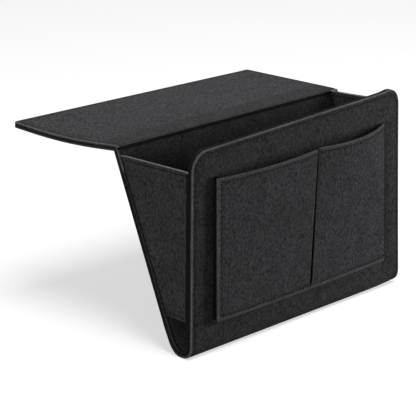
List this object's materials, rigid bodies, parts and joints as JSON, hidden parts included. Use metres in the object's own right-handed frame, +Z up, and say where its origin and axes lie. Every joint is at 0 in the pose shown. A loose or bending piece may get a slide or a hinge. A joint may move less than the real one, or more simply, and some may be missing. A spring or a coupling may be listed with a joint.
{
  "type": "bedside caddy",
  "caption": "Grey felt bedside caddy: a flap that goes under the mattress, a wide open pouch with side gussets, and two small pockets stitched on its front",
  "frame": {"origin": "Middle of the flap's underside, which lies on the bed base", "axes": "+X along the width, to the right as the pockets are faced; +Y from the front panel to the flap's free edge, into the bed; +Z up, square to the flap"},
  "size_m": [0.3348, 0.2616, 0.2186],
  "materials": {
    "felt": "matt heathered felt",
    "flap_felt": "matt heathered felt",
    "pocket_felt": "matt heathered felt",
    "stiffener": "matt sheet",
    "thread": "twisted polyester thread"
  },
  "bodies": {
    "flap": {"flap_top_felt": "flap_felt", "flap_under_felt": "flap_felt", "flap_board": "stiffener", "flap_top_thread": "thread", "flap_under_thread": "thread"},
    "back": {"back_outer_felt": "felt", "back_inner_felt": "felt", "back_board": "stiffener", "back_left_thread": "thread", "back_right_thread": "thread", "crease_outer_felt": "felt", "crease_inner_felt": "felt", "bend_outer_felt": "felt", "bend_inner_felt": "felt", "bend_left_thread": "thread", "bend_right_thread": "thread", "gusset_left": "felt", "gusset_left_hem_thread": "thread", "gusset_left_foot_thread": "thread", "gusset_right": "felt", "gusset_right_hem_thread": "thread", "gusset_right_foot_thread": "thread"},
    "front": {"front_outer_felt": "felt", "front_inner_felt": "felt", "front_board": "stiffener", "front_edge_thread": "thread", "pocket_left_panel": "pocket_felt", "pocket_left_thread": "thread", "pocket_right_panel": "pocket_felt", "pocket_right_thread": "thread", "pocket_side_wall": "pocket_felt", "pocket_divider": "pocket_felt", "pocket_bottom_wall": "pocket_felt"}
  },
  "joints": [
    {"name": "flap_crease", "type": "hinge", "parent": "flap", "child": "back", "pos_m": [0, -0.069, -0.0006], "axis": [1, 0, 0], "range_deg": [-132, 109], "deforming": ["crease_outer_felt", "crease_inner_felt"]},
    {"name": "front_squeeze", "type": "hinge", "parent": "back", "child": "front", "pos_m": [0, -0.16, -0.1756], "axis": [-1, 0, 0], "range_deg": [0, 18], "stiffness_Nm_per_rad": 1, "deforming": ["gusset_left", "gusset_left_hem_thread", "gusset_left_foot_thread", "gusset_right", "gusset_right_hem_thread", "gusset_right_foot_thread"]}
  ]
}
